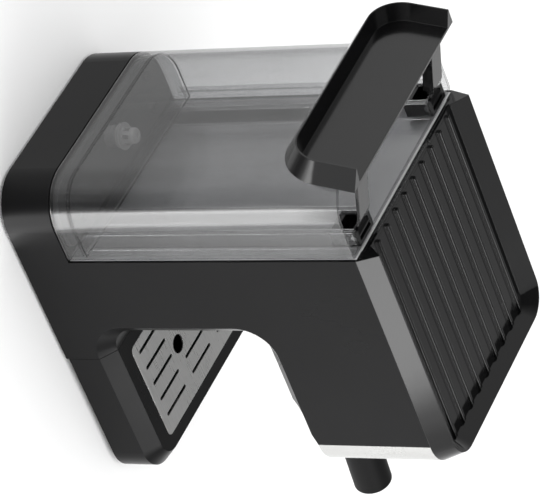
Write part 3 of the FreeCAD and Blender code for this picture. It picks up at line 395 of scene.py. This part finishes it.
def floor():
    """A pale floor that runs far past the view, with a little tone in it."""
    mesh = bpy.data.meshes.new("floor")
    reach = FLOOR_REACH
    corners = [(-reach, -reach, 0), (reach, -reach, 0), (reach, reach, 0), (-reach, reach, 0)]
    mesh.from_pydata(corners, [], [(0, 1, 2, 3)])
    piece = bpy.data.objects.new("floor", mesh)
    bpy.context.scene.collection.objects.link(piece)
    tree = Tree("floor")
    base = tree.tones(tree.noise(3, 2), (0.90, 0.90, 0.90), (0.92, 0.92, 0.92))
    rough = tree.spread(tree.noise(4, 2), 0.85, 0.95)
    shader = tree.add("ShaderNodeBsdfPrincipled", {
        "Base Color": base, "Roughness": rough, "Specular IOR Level": 0.2,
    })
    mesh.materials.append(tree.finish(shader.outputs[0]))


def softbox(name, direction, distance, width, height, radiance, centre):
    """An area light that faces the machine from that direction."""
    data = bpy.data.lights.new(name, "AREA")
    data.shape = "RECTANGLE"
    data.size = width
    data.size_y = height
    data.energy = radiance * math.pi * width * height
    light = bpy.data.objects.new(name, data)
    away = Vector(direction).normalized()
    light.location = centre + away * distance
    light.rotation_mode = "QUATERNION"
    light.rotation_quaternion = away.to_track_quat("Z", "Y")
    light.visible_camera = False
    bpy.context.scene.collection.objects.link(light)


# What reflections see on the floor round the tank's open corner: the bearing in degrees from +Y
# towards -X and the tone there, and the share of that tone kept at each reach in metres, beyond
# which the floor is plain again. It makes the dark and bright bands of the tank's rounded corner.
FLOOR_TONES = [
    (-86, 0.93), (-76, 0.75), (-30, 0.75), (8, 0.75), (20, 0.55), (32, 0.34), (50, 0.18), (62, 0.30),
    (70, 1.4), (75, 5.0), (82, 5.0), (90, 4.6), (104, 5.0), (112, 2.2), (120, 0.93),
]
FLOOR_REACHES = [(0.03, 1.0), (0.48, 1.0), (0.60, 0.0), (2.5, 0.0)]
PLAIN_FLOOR = 0.93
HUB_INSET = 0.034
CARD_LIFT = 0.001


def floor_card():
    """A fan on the floor that only reflections see, dark towards the camera and bright at the side."""
    low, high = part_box("water_tank")
    hub = Vector((low.x + HUB_INSET, (low.y + high.y) / 2, CARD_LIFT))
    points = []
    tones = []
    for bearing, tone in FLOOR_TONES:
        angle = math.radians(bearing)
        for reach, share in FLOOR_REACHES:
            points.append(hub + reach * Vector((-math.sin(angle), math.cos(angle), 0)))
            tones.append(PLAIN_FLOOR + share * (tone - PLAIN_FLOOR))
    row = len(FLOOR_REACHES)
    faces = []
    for k in range(0, len(points) - row, row):
        for step in range(k, k + row - 1):
            faces.append((step, step + 1, step + row + 1, step + row))
    mesh = bpy.data.meshes.new("floor_card")
    mesh.from_pydata(points, [], faces)
    shade = mesh.attributes.new("tone", "FLOAT", "POINT")
    shade.data.foreach_set("value", tones)
    piece = bpy.data.objects.new("floor_card", mesh)
    bpy.context.scene.collection.objects.link(piece)
    tree = Tree("floor_card")
    tone = tree.add("ShaderNodeAttribute", attribute_name="tone").outputs["Fac"]
    glow = tree.add("ShaderNodeEmission", {"Color": (1, 1, 1, 1), "Strength": tone})
    mesh.materials.append(tree.finish(glow.outputs[0]))
    piece.visible_camera = False
    piece.visible_diffuse = False
    piece.visible_transmission = False
    piece.visible_shadow = False


# The even light that falls on everything, the overhead light, and how far behind the top cover's
# middle the side light is aimed.
FILL_TONE = (0.95, 0.95, 0.95, 1)
FILL_STRENGTH = 1.15
OVERHEAD_ENERGY = 0.35
OVERHEAD_ANGLE = 50
SIDE_AIM_BACK = 0.03

# How bright the studio looks in reflections, from the horizon (0) to straight up (1).
SKY = [(0.0, 0.95), (0.2, 0.72), (0.45, 0.35), (0.62, 0.08), (1.0, 0.05)]


def studio():
    """A world with one tone for light and a graded one for reflections, an overhead light, softboxes."""
    world = bpy.data.worlds.new("studio")
    bpy.context.scene.world = world
    world.use_nodes = True
    nodes, links = world.node_tree.nodes, world.node_tree.links
    nodes.clear()
    path = nodes.new("ShaderNodeLightPath")
    fill = nodes.new("ShaderNodeBackground")
    fill.inputs["Color"].default_value = FILL_TONE
    fill.inputs["Strength"].default_value = FILL_STRENGTH
    place = nodes.new("ShaderNodeTexCoord")
    split = nodes.new("ShaderNodeSeparateXYZ")
    ramp = nodes.new("ShaderNodeValToRGB")
    steps = ramp.color_ramp.elements
    steps[0].position, steps[1].position = SKY[0][0], SKY[-1][0]
    for height, _ in SKY[1:-1]:
        steps.new(height)
    for step, (_, tone) in zip(steps, SKY):
        step.color = (tone, tone, tone, 1)
    seen = nodes.new("ShaderNodeBackground")
    mix = nodes.new("ShaderNodeMixShader")
    output = nodes.new("ShaderNodeOutputWorld")
    links.new(place.outputs["Generated"], split.inputs[0])
    links.new(split.outputs["Z"], ramp.inputs[0])
    links.new(ramp.outputs[0], seen.inputs["Color"])
    links.new(path.outputs["Is Glossy Ray"], mix.inputs[0])
    links.new(fill.outputs[0], mix.inputs[1])
    links.new(seen.outputs[0], mix.inputs[2])
    links.new(mix.outputs[0], output.inputs[0])
    sun = bpy.data.lights.new("overhead", "SUN")
    sun.energy = OVERHEAD_ENERGY
    sun.angle = math.radians(OVERHEAD_ANGLE)
    overhead = bpy.data.objects.new("overhead", sun)
    bpy.context.scene.collection.objects.link(overhead)
    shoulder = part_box("top_cover")[0].lerp(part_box("top_cover")[1], 0.5)
    shoulder.x = CAD_BOX[0].x
    shoulder.y += SIDE_AIM_BACK
    softbox("side_box", direction=(-0.83, -0.555, 0.08), distance=0.9, width=0.20, height=0.4,
            radiance=4.3, centre=shoulder)
    low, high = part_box("drip_tray")
    bevel = Vector((low.x, (low.y + high.y) / 2, high.z))
    softbox("tray_box", direction=(-0.50, -0.555, 0.67), distance=1.0, width=0.45, height=0.35,
            radiance=5.0, centre=bevel)
    middle = (CAD_BOX[0] + CAD_BOX[1]) / 2
    softbox("high_box", direction=(-0.50, -0.555, 0.67), distance=1.6, width=0.9, height=0.7,
            radiance=0.6, centre=middle)
    bpy.context.scene.view_settings.view_transform = "Standard"


def camera():
    azimuth = math.radians(CAMERA_AZIMUTH)
    elevation = math.radians(CAMERA_ELEVATION)
    back = Vector((
        math.sin(azimuth) * math.cos(elevation),
        -math.cos(azimuth) * math.cos(elevation),
        math.sin(elevation),
    ))
    data = bpy.data.cameras.new("camera")
    data.sensor_width = CAMERA_SENSOR
    data.lens = CAMERA_LENS
    data.clip_start = 0.1
    data.clip_end = 50.0
    stand = bpy.data.objects.new("camera", data)
    bpy.context.scene.collection.objects.link(stand)
    stand.location = CAMERA_PLACE
    stand.rotation_mode = "QUATERNION"
    roll = Quaternion((0, 0, 1), math.radians(CAMERA_ROLL))
    stand.rotation_quaternion = (-back).to_track_quat("-Z", "Y") @ roll
    bpy.context.scene.camera = stand


floor()
floor_card()
studio()
camera()
